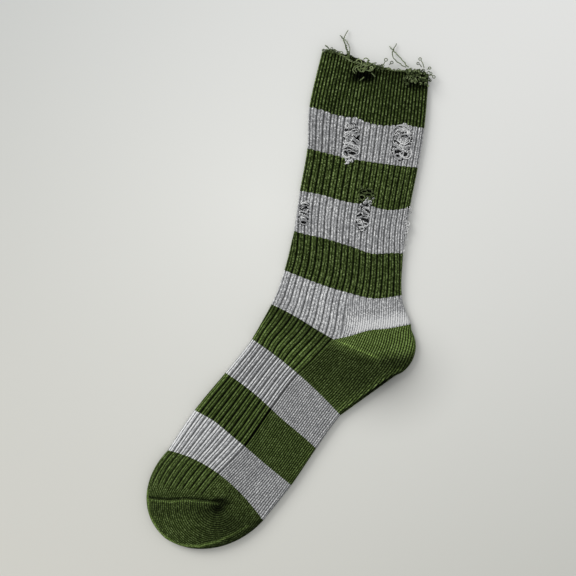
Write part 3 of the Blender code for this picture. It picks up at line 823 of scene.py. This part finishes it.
for ladder in LADDERS:
    spin = random.Random(ladder.name)
    stripe = next(s for s in LEG_STRIPES if s.name == ladder.stripe)
    length = (ladder.end - ladder.start) * stripe.length
    openings = [(on_cloth(stripe.name, along, [share])[0], *size) for share, along, *size in ladder.holes]
    strands = []
    for k in range(int(length / RUNG_SPACING)):
        along = ladder.start + (k + 0.5 + spin.uniform(-0.5, 0.5)) * RUNG_SPACING / stripe.length
        strands.append(bare_rung(spin, stripe, ladder, along, openings))
    for opening in openings:
        for k in range(2):
            strands.append(round_hole(spin, *opening, either_way(spin, 1.2, 3.6)))
    for places in LAID_YARNS.get(ladder.name, ()):
        flat = smooth_path(places, np.linspace(0, 1, 26))
        for lift in (0, 0.3):
            strands.append(np.column_stack([flat + lift * 1.6, np.full(len(flat), YARN_HEIGHT + lift)]))
    if ladder.name == "run_back":
        for k in range(12):
            size = 1.4 + 0.5 * k
            middle = EDDY + np.array((spin.uniform(-0.7, 0.7), spin.uniform(-0.6, 0.6), 0))
            strands.append(round_hole(spin, middle, size, size * 0.8, either_way(spin, 1.4, 3)))
    for k in range(int(length * ladder.half * 24)):
        along = spin.uniform(ladder.start + 0.02, ladder.end - 0.02)
        start = on_cloth(stripe.name, along, [ladder.middle + spin.uniform(-0.9, 0.9) * ladder.half])[0]
        heading, turn = spin.uniform(0, FULL_TURN), either_way(spin, 0.8, 4)
        strand = curl(spin, start, heading, spin.uniform(1.6, 3.6), turn, spin.uniform(0.5, 1.1))
        if min(np.hypot(*from_hole(strand, *opening)).min() for opening in openings) > 0.6:
            strands.append(strand)
    shades = bare_grey[:1] * 2 + bare_grey[1:] if stripe.slot == "grey_yarn" else bare_green
    yarn_piece("ladder_" + ladder.name, strands, shades, LADDER_YARN)

# Two tufts where a run ends: loops of grey yarn that push into the green below and above.
for name, x, y, spread, count, way in (
    ("tuft_below_run", 43.8, 100.6, 1.7, 16, -1.6),
    ("tuft_over_run", 57.6, 69.8, 2, 18, 1.6),
):
    spin = random.Random(name)
    strands = []
    for k in range(count):
        start = (x + spin.gauss(0, 0.6) * spread, y + spin.gauss(0, 0.5) * spread, 4.6)
        turn = either_way(spin, 2.2, 4.2)
        heading = way + spin.uniform(-1.2, 1.2)
        strands.append(curl(spin, start, heading, spin.uniform(1.8, 3.4), turn, spin.uniform(0.3, 0.9)))
    yarn_piece(name, strands, bare_grey, TUFT_YARN)

# ---- heel
# The round pocket of the heel is knitted back and forth on half of the needles, so its courses fan
# out from the ankle. The instep keeps its rib, and the heel and the sole are plain and smooth.
HEEL_ROWS = 100
HEEL_ON_MAP = 400           # where its courses start on the stitch map
HEEL_CENTRE = np.array((69.6, -34.1))
HEEL_RADIUS = 23.7
HEEL_HEIGHT = 8
MITRE = (36.5, -30.5), (66.5, -43)    # the line of decreases across the pocket
LOWER_EDGE = (58, -43), (93, -37)     # below it the heel turns down to the surface
# Along this line, below the mitre, the pocket gets a band of painted shade.
SHADE_LINE = (47, -41.5), (87, -47)


def heel_rows(shares):
    """The heel's rows: the back end of each goes round the pocket and then along the sole."""
    start, end = COURSES[HEEL_START], COURSES[HEEL_END]
    turns = np.radians(np.linspace(30, -70, 7))
    pocket = HEEL_CENTRE + HEEL_RADIUS * np.column_stack([np.cos(turns), np.sin(turns)])
    outline = np.concatenate([[start.back], pocket, np.linspace(pocket[-1], end.back, 4)[1:]])
    front = np.linspace(start.front, end.front, len(shares))
    middle = np.linspace(start.middle, end.middle, len(shares))
    height = np.linspace(start.height, end.height, len(shares))
    height = height + (HEEL_HEIGHT - height) * np.sin(math.pi * shares)
    return front, middle, smooth_path(outline, shares), (1 - shares) ** 2, height, HEEL_START + shares


def proud_lit_wales(rib, *lines):
    """Wales of a rib with painted light, or shade where negative: each with its place across, width and
    strength.
    """
    return sum(strength * peak(np.mod(rib, 1), middle, width) for middle, width, strength in lines)


rows = heel_rows(np.linspace(0, 1, HEEL_ROWS + 1))
points, outward, share, rib, on_top, level = round_the_tube(rows)
step = np.linalg.norm(np.diff(points, axis=0), axis=2)
courses = HEEL_ON_MAP + np.concatenate([np.zeros((1, COLUMNS + 1)), np.cumsum(step, axis=0)])
ribbed = 1 - ease(share, 0.495, 0.515)
sink = rib_relief(rib, courses, 0.15, 31) * ribbed
points = sink_in(points, outward, sink, ribbed)
flat, x = points[..., :2], points[..., 0]
across, along, _ = beside(flat, *MITRE)
mitre = peak(across, 0, 0.7) * ease(along, -0.05, 0.1) * (1 - ease(along, 0.9, 1.1)) * on_top
# Painted light and shade on the pocket: lighter on its upper part, which faces the light, and darker below
# the lower edge, where it turns away.
lower = np.maximum(ease(across, -3, 8), ease(beside(flat, *LOWER_EDGE)[0], -3, 6) * ease(x, 58, 68))
shade = peak(beside(flat, *SHADE_LINE)[0], 0, 5.5) * ease(x, 40, 56)
pocket = 0.42 - 0.9 * lower - 0.42 * shade * (1 - 0.5 * lower) + 0.22 * ease(across, 20, 42)
tone = 1 + (1 - ribbed) * pocket * on_top + mitre * (0.52 + 0.48 * np.sin(along * 96)) * 2.8
# The instep's ribs get painted highlights on their lit side.
proud_and_lit = proud_lit_wales(rib, (0.23, 0.09, 1), (0.57, 0.08, 0.6))
tone = tone + (proud_and_lit * 1.2 - 0.12) * ribbed * on_top * ease(level, 6, 6.25)
tone = tone * (1 - 0.32 * ribbed * on_top * (1 - ease(level, 6.2, 6.6)))
# Two painted highlight lines along the sole's fold, and a painted shade sliver at its edge.
lit_and_shaded_side_lines = (peak(share, 0.962, 0.006) + 0.7 * peak(share, 0.935, 0.006)) * ease(level, 6.4, 6.8)
lit_and_shaded_side_lines = lit_and_shaded_side_lines * 0.8 - (np.abs(share - 0.983) < 0.009) * 0.5 * ease(level, 6.5, 6.75)
quiet = np.clip(0.35 + 0.1 * ribbed + (1 - ribbed) * 0.35 * (1 - lower) + 0.3 * mitre, 0, 1)
points[..., 2] += mitre * 0.35
heel = knit_piece(
    "heel_knit", green_cloth, points, count_wales(rows, rib, share), courses, sink,
    tone=tone + lit_and_shaded_side_lines * on_top, plain=1 - 0.7 * ribbed, quiet=quiet,
)
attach(heel, "root")
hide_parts("heel_green")

# ---- foot stripes
# The foot is ribbed over the instep, as the leg is, and plain under the sole. The last wales
# before the plain half stand proud and are painted lighter, with a deep groove beside them that is
# painted darker.
FOOT_ON_MAP = 500
FOOT_STRIPES = [
    Stripe("foot_grey_6", "foot_grey_rear", 7, "grey_yarn", 31, 0.9),
    Stripe("foot_green_7", "foot_green", 8, "green_yarn", 34, 0.9, 44),
    Stripe("foot_grey_8", "foot_grey_front", 9, "grey_yarn", 31, 0.9),
]
for number, stripe in enumerate(FOOT_STRIPES):
    grey = stripe.slot == "grey_yarn"
    rows = rows_between(stripe.course, np.linspace(0, 1, stripe.rows + 1))
    points, outward, share, rib, on_top, _ = round_the_tube(rows)
    courses = np.linspace(0, stripe.length, stripe.rows + 1)[:, None] + FOOT_ON_MAP + MAP_STEP * number
    ribbed = 1 - ease(share, 0.5, 0.515)
    last_groove = peak(rib, 7.94, 0.16) * on_top
    sink = rib_relief(rib, courses, 0.16 if grey else 0.2, 40 + number) * ribbed
    sink = np.clip(sink + last_groove, 0, 1.1)
    proud_and_lit = proud_lit_wales(rib, (0.23, 0.08, 1), (0.57, 0.07, 0.6), (0.41, 0.06, -0.6)) * ribbed * on_top
    points = sink_in(points, outward, sink - 0.25 * proud_and_lit, ribbed)
    # Painted highlights on the front fold and along a line by the back fold, and painted shade at the back
    # fold's edge and in the last groove.
    lit_folds = 0.6 * (1 - ease(share, 0.035, 0.05)) + 0.35 * peak(share, 0.972, 0.006)
    tone = stripe.tone + proud_and_lit * 1.5 + lit_folds * on_top - (share > 0.98) * 0.12 - last_groove * 0.25
    if stripe.name == "foot_grey_8":
        lighter = 0.16 + 0.16 * (1 - ease(share, 0.2, 0.4)) + 0.25 * last_groove
        tone = tone + lighter * on_top * ribbed
    piece = knit_piece(
        stripe.name, CLOTHS[stripe.slot], points, count_wales(rows, rib, share), courses, sink,
        tone=tone * (1 - (0.12 if grey else 0.25) * ease(share, 0.5, 0.52)),
        plain=(1 - ribbed) * (1.5 if grey else 1.25), quiet=0.5,
    )
    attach(piece, "root")
    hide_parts(stripe.node)

# ---- toe
# The toe is a plain pocket like the heel. Its wales come from the sole, turn round the tip and end
# at the seam, which crosses over the toes and sinks into a dimple at its inner end.
FOOT_ACROSS = np.array((0.8, -0.6))
TOE_ROWS = 100
TOE_ON_MAP = 700
TOE_LENGTH = 52.5
TOE_HALF_WIDTH = 45.9
TOE_DRIFT = 6
TOE_HEIGHT, TIP_HEIGHT = 7.6, 4.9
TOE_WALE, FIRST_WALE = 1.6, 48    # how wide a wale is, and the number of the one at the dimple
TURN_COURSES = 26           # to each radian of the turn round the tip
TIP_REACH = 0.0028          # in metres: the last stitches within it are drawn together
SEAM = ((-106, -143.4), (-98, -145.2), (-84.3, -145.9), (-72.8, -145.2), (-63, -146.2), (-49, -148.4))
DIMPLE = np.array((-50.5, -148.6))
RIM = (
    (-102.6, -139.1), (-100.8, -156.6), (-93.4, -169.8), (-80.6, -178.4),
    (-64.2, -179.2), (-51.1, -175.8), (-38, -169.7), (-29.2, -164.8),
)


def toe_rows(shares):
    """The toe's rows, which narrow to the tip in a rounded bow."""
    start = COURSES[TOE_START]
    front, middle, back = (np.array(place) for place in start[:3])
    base = (front + back) / 2
    s = shares[:, None]
    angle = np.radians(88.8) * s
    half = (back - front) @ FOOT_ACROSS / 2
    width = TOE_HALF_WIDTH * np.cos(angle) + (half - TOE_HALF_WIDTH) * (1 - s)
    side = FOOT_ACROSS * width - FOOT_ALONG * ((front - base) @ FOOT_ALONG) * (1 - s)
    bowed = (middle - base) * np.cos(angle) ** 2 * (1 - s)
    middle = base + (FOOT_ALONG * TOE_LENGTH - FOOT_ACROSS * TOE_DRIFT) * np.sin(angle)
    height = start.height + (TIP_HEIGHT - start.height) * shares
    height = height + (TOE_HEIGHT - height) * np.sin(math.pi * np.minimum(1, shares * 1.15))
    return middle - side, middle + bowed, middle + side, np.zeros(len(shares)), height, TOE_START + shares


shares = 1 - (1 - np.linspace(0, 1, TOE_ROWS + 1)) ** 1.15
points, outward, share, rib, on_top, _ = round_the_tube(toe_rows(shares))
x, y, z = np.moveaxis(points, 2, 0)
ahead, aside = (points[..., :2] - DIMPLE) @ FOOT_ALONG, (points[..., :2] - DIMPLE) @ FOOT_ACROSS
seam = smooth_path(SEAM, np.linspace(0, 1, 60))
above_seam = y - np.interp(x, seam[:, 0], seam[:, 1])
instep = (x < DIMPLE[0]) & (above_seam > 0) | (aside < 0) & (ahead < 0)
round_tip = (ahead > 0) & ~instep
from_sole = np.where(round_tip, np.hypot(ahead, aside), np.abs(aside)) - z
wales = np.where(instep, rib * 3, from_sole / TOE_WALE + FIRST_WALE)
courses = np.where(round_tip, np.arctan2(ahead, aside) * TURN_COURSES, ahead) + TOE_ON_MAP
rib_end = np.interp(x, (-94, -81, -61), (9.5, 7.5, 2)) + soft_noise(x * 0.35, y * 0.1, 3)
ribbed = ease(above_seam - rib_end, 0, 3.5) * (1 - ease(rib, 8.02, 8.3)) * (rib < 18) * on_top
sink = rib_relief(rib, courses, 0.15, 51) * ribbed * (0.72 + 0.28 * ease(rib, 2, 5))
points = sink_in(points, outward, sink, ribbed)

x, y, z = np.moveaxis(points, 2, 0)
# Painted light and shade on the toe, over its real relief: the seam's ridge lighter, and its groove, the
# dimple, a second hollow and the trough below the seam darker.
near_seam = on_top * (1 - ease(x, DIMPLE[0] - 1, DIMPLE[0] + 1.5))
groove = peak(above_seam, 0.9, 0.7) * near_seam
ridge = peak(above_seam, -0.6, 0.75) * near_seam
below_seam = peak(above_seam, -7.5, 4) * near_seam
hollow = peak(x, DIMPLE[0] + 1.5, 5.8) * peak(y, DIMPLE[1] + 1, 2.9) * on_top
second = peak(x, -51, 4.5) * peak(y, -152.5, 2.5) * on_top
# A painted highlight along the rim of the fold and painted shade in the band beyond it, on the lower right;
# the lit side and the instep above the seam are painted lighter, the low corner darker.
nearest, outside = np.full(share.shape, 99), np.zeros(share.shape)
for start, end in zip(RIM, RIM[1:]):
    across, _, distance = beside(points[..., :2], start, end)
    outside = np.where(distance < nearest, across > 0, outside)
    nearest = np.minimum(nearest, distance)
lit_rim = peak(nearest, 0, 0.9) * on_top * (1 - 0.7 * ease(x, -62, -34))
shaded_beyond_rim = ease(nearest * np.where(outside, 1, -1), -0.3, 2.2) * ease(x, -84, -58) * on_top
lit_side = peak(x, -84, 16) * peak(y, -162, 12) * on_top
proud_and_lit = proud_lit_wales(rib, (0.24, 0.08, 1), (0.58, 0.08, 0.6), (0.41, 0.07, -0.35))
tone = 0.53 + ridge * 1.3 - groove * 0.5 - hollow * 0.75 - second * 0.4 - below_seam * 0.15
tone = tone + 1.8 * lit_rim - 0.24 * shaded_beyond_rim + 0.12 * lit_side + (0.16 + 1.4 * proud_and_lit) * ribbed
tone = np.clip(tone, 0.12, 2.4)
shaded_low_corner = ease(x, -70, -45) * ease(-y, 150, 166)
lighter = 0.09 + 0.16 * ease(above_seam, 1, 9) * instep - 0.24 * shaded_low_corner
tone = tone + lighter * on_top * (tone > 0.4)
z += ridge * 0.7 - groove * 1.1 - hollow * 2.4 - second - below_seam * 0.5
toe = knit_piece(
    "toe_knit", green_cloth, points, wales, courses, sink, tone,
    plain=0.75 * (1 - ribbed) * (1 - np.minimum(lit_rim, 1)), quiet=0.35 + 0.25 * lit_rim,
)
tip = Vector((points[-1].mean(axis=0) - (*CENTRE, 0)) * MM)
last_stitches = [(vertex.co - tip).length < TIP_REACH for vertex in toe.data.vertices]
edit_vertices(toe.data, last_stitches, bpy.ops.mesh.merge, type="CENTER")
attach(toe, "root")
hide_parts("toe_green")

# ---- frayed edge
# Along the raw edge the top stitches have come undone. Their loops curl up, and at the corners and
# the middle they gather in tufts, with a few long ends of yarn that lie out over the surface.
EDGE_CURLS = 84
UPPER_EDGE, UNDER_EDGE = 4.2, 1    # how high the two layers of the raw edge lie
EDGE_YARN, NEST_YARN, CORNER_YARN, FUZZ_YARN = 0.27, 0.35, 0.3, 0.24    # radius of each
# Lighter shades of the same green yarn, which paint highlights on the edge loops, the back tuft and the
# nest.
lit_green = yarn_shades(
    "hem_green_yarn",
    ((0.17, 0.225, 0.08), (0.4, 0.47, 0.24)),
    ((0.075, 0.11, 0.028), (0.23, 0.29, 0.12)),
    ((0.012, 0.022, 0.004), (0.085, 0.12, 0.035)),
)


def edge_place(share, below=0, upper=True):
    """A place on the raw edge, or so far below it, in millimetres."""
    flat = rounded(*(np.array(place) for place in COURSES[RAW_EDGE][:3]), share)
    x, y = flat + LEG_UP * (edge_reach(share, upper) - below)
    return x, y, UPPER_EDGE if upper else UNDER_EDGE


spin = random.Random(5)
loops = []
for k in range(EDGE_CURLS):
    share = (k + spin.uniform(0.1, 0.9)) / EDGE_CURLS
    start = edge_place(share, spin.uniform(0, 0.8), k % 4 != 0)
    heading, length = 1.45 + spin.uniform(-0.9, 0.9), spin.uniform(1.2, 2.8)
    loops.append(curl(spin, start, heading, length, either_way(spin, 2.5, 4.6), spin.uniform(0.2, 0.9)))
# The hem's last chain of stitches still lies along the edge in two lengths.
for start, end in ((0.08, 0.4), (0.6, 0.8)):
    for swing in (0, 3.1):
        chain = []
        for share in np.arange(start, end, 0.004):
            x, y, z = edge_place(share, 0.5)
            turn = share * 260 + swing
            across, up = 0.25 * math.cos(turn), 0.3 * math.sin(turn)
            chain.append((x + across, y + up, z + 0.6 + across))
        loops.append(chain)
yarn_piece("cuff_edge_loops", loops, lit_green, EDGE_YARN)

# The tufts: the ends of each along the edge, its loops, how far they start below the edge, their
# greatest length and turn, and the way that they lie.
for name, node, first, last, count, below, longest, twist, way, seed, shades in (
    ("tuft_front", "fray_front_corner", 0, 0.2, 26, 1.6, 4.2, 4, 1.6, 2, bare_green),
    ("tuft_middle", "fray_middle", 0.38, 0.6, 28, 2.2, 4, 3.6, 1.9, 3, bare_green[1:]),
    ("tuft_back", "fray_back_corner", 0.78, 1, 120, 9.5, 3.6, 5.2, 0.9, 4, bare_green[1:] * 2 + lit_green),
):
    spin = random.Random(seed)
    strands = []
    for k in range(count):
        share = spin.uniform(first, last)
        x, y, z = edge_place(share, spin.uniform(0, below))
        start = (x, y, z + spin.uniform(0, 1.6))
        heading = way + spin.uniform(-1.2, 1.2)
        turn = either_way(spin, 0.5, 1) * twist
        length = spin.uniform(0.35, 1) * longest
        strands.append(curl(spin, start, heading, length, turn, spin.uniform(0.3, 1.6)))
    yarn_piece(name, strands, shades, EDGE_YARN, (node,))

# The middle tuft has curled into a small nest, with some ends that stray over the torn cloth.
NEST = (57, 169.2)
NEST_YARNS = (
    ((48.6, 163.9, 5), (47, 166.2, 5.4), (48.4, 168.6, 5.8), (51, 169.8, 5.6)),
    ((49.8, 165, 5), (48.6, 166.6, 5.6), (49.6, 168, 6), (52, 168.6, 6.2)),
    ((52.2, 158.8, 4.6), (53.6, 159.8, 5), (55.2, 161.2, 4.6)),
    ((60.4, 164.2, 5), (61.8, 163, 5.2), (63.2, 161.4, 4.6)),
    ((50.6, 166.8, 5.6), (52.8, 165, 6.4), (55.6, 165.6, 6.6), (56.4, 167.8, 6.2)),
    ((57, 166.2, 6), (59.4, 165.2, 6.8), (61.8, 166.8, 6.4), (61, 169.2, 5.8)),
    ((54.6, 170.4, 6.6), (57.4, 169.2, 7.2), (60.2, 170.6, 6.4), (63.6, 171.6, 5.2)),
)
spin = random.Random(31)
strands = [smooth_path(places, np.linspace(0, 1, 20)) for places in NEST_YARNS]
for k in range(15):
    start = (NEST[0] + spin.uniform(-5, 5), NEST[1] + spin.uniform(-3.4, 1.6), spin.uniform(5.4, 6.6))
    turn, heading, length = either_way(spin, 3, 5), spin.uniform(0, FULL_TURN), spin.uniform(4.5, 8)
    strands.append(curl(spin, start, heading, length, turn, spin.uniform(0.4, 1.6), 18))
yarn_piece("nest_curls", strands, bare_green[:1] * 2 + lit_green[:2], NEST_YARN)

# Long ends of two strands: the solid that each stands for, its radius, how far it crimps from side
# to side, and the way it lies.
for name, nodes, radius, crimp, places in (
    ("thread_front", ("loose_end_front",), 0.42, 0.22, (
        (43.9, 175.6, 4), (43.3, 178.8, 3.6), (42, 183.5, 3.2), (40.4, 189, 2.4), (38.1, 192.1, 1.4))),
    ("thread_front_branch", (), 0.3, 0.18, ((40.3, 187.6, 2.6), (41.5, 192, 2), (43.9, 196.2, 1))),
    ("thread_front_bow", (), 0.26, 0.1, (
        (41.6, 189, 2.2), (43.4, 186.2, 3.2), (44.8, 182.6, 3.6), (44.6, 178.6, 4), (43.4, 175.8, 4.2))),
    ("thread_front_root", (), 0.4, 0.3, (
        (44.6, 175.4, 4.2), (44.4, 178.4, 4.4), (42.6, 181.6, 4), (42.4, 184.6, 3.2))),
    ("thread_long", ("loose_end_long",), 0.36, 0.18, (
        (87.2, 168.4, 4.2), (83.6, 173.2, 3.6), (79.9, 177.5, 2.6), (76.6, 181.2, 1.6), (73.9, 184.4, 0.8))),
    ("thread_bowed", ("loose_end_bowed",), 0.32, 0.14, (
        (85.4, 168.4, 4.2), (80.6, 171.6, 3.8), (77, 175, 3.2),
        (75.9, 179, 2.4), (77, 182.2, 1.8), (79.2, 186.4, 0.8))),
    ("thread_stub", (), 0.34, 0.15, ((30.2, 181.4, 4), (28.6, 183.2, 4), (27, 184.8, 3))),
):
    spin = random.Random(name)
    t = np.linspace(0, 1, 44)
    first = smooth_path(places, t)
    first[:, 0] += crimp * np.sin(t * 34 + spin.uniform(0, 6))
    first[:, 2] += crimp * np.cos(t * 34)
    across, up = np.cos(t * 40), np.sin(t * 40)
    second = first + radius * np.column_stack([0.8 * across, 0.3 * across, 0.8 * up])
    yarn_piece(name, [first, second[:-3]], bare_green, radius * 0.8, nodes)

# Loop-tipped ends round the back corner: the foot of the stem, and the middle and size of the loop.
strands = []
for foot, middle, size in (
    ((98.8, 168.1), (96, 174.6), 0.9), ((96.9, 168.6), (94.5, 171.3), 0.8),
    ((101.2, 166.8), (103, 168), 0.9), ((101.4, 165.4), (103.9, 164.2), 0.8),
    ((102.8, 163), (106, 161.6), 1), ((101.6, 161), (103.4, 159), 0.7),
    ((69, 170), (71.2, 174), 1.1), ((73.6, 170.2), (75.4, 172), 1),
):
    foot, middle = np.array(foot), np.array(middle)
    way = (middle - foot) / np.linalg.norm(middle - foot)
    turns = np.linspace(math.pi, math.pi * 2.9, 14)[:, None]
    ring = middle + size * (np.cos(turns) * way + np.sin(turns) * np.array((-way[1], way[0])))
    stem = smooth_path([foot, (foot + middle) / 2 + 0.3, middle - way * size], np.linspace(0, 1, 8))
    flat = np.concatenate([stem[:-1], ring])
    strands.append(np.column_stack([flat, np.linspace(4.4, 3, len(flat))]))
yarn_piece("corner_loops", strands, bare_green[1:], CORNER_YARN)

# Fine loops have rubbed up along the back fold of stripe 3, most of all below its middle.
spin = random.Random(12)
strands = []
for k in range(64):
    along = min(1, max(0, spin.gauss(0.42, 0.24)))
    start = on_cloth("leg_grey_3", along, [spin.uniform(0.965, 1)])[0]
    start[2] = spin.uniform(1.2, 4.4)
    length = 1.6 * spin.uniform(1.4, 3.8) * (0.6 + 0.7 * peak(along, 0.35, 0.2))
    heading = spin.uniform(-1.1, 0.9)
    strands.append(curl(spin, start, heading, length, either_way(spin, 2.5, 4.4), spin.uniform(0, 0.6)))
yarn_piece("fold_fuzz", strands, bare_grey, FUZZ_YARN)
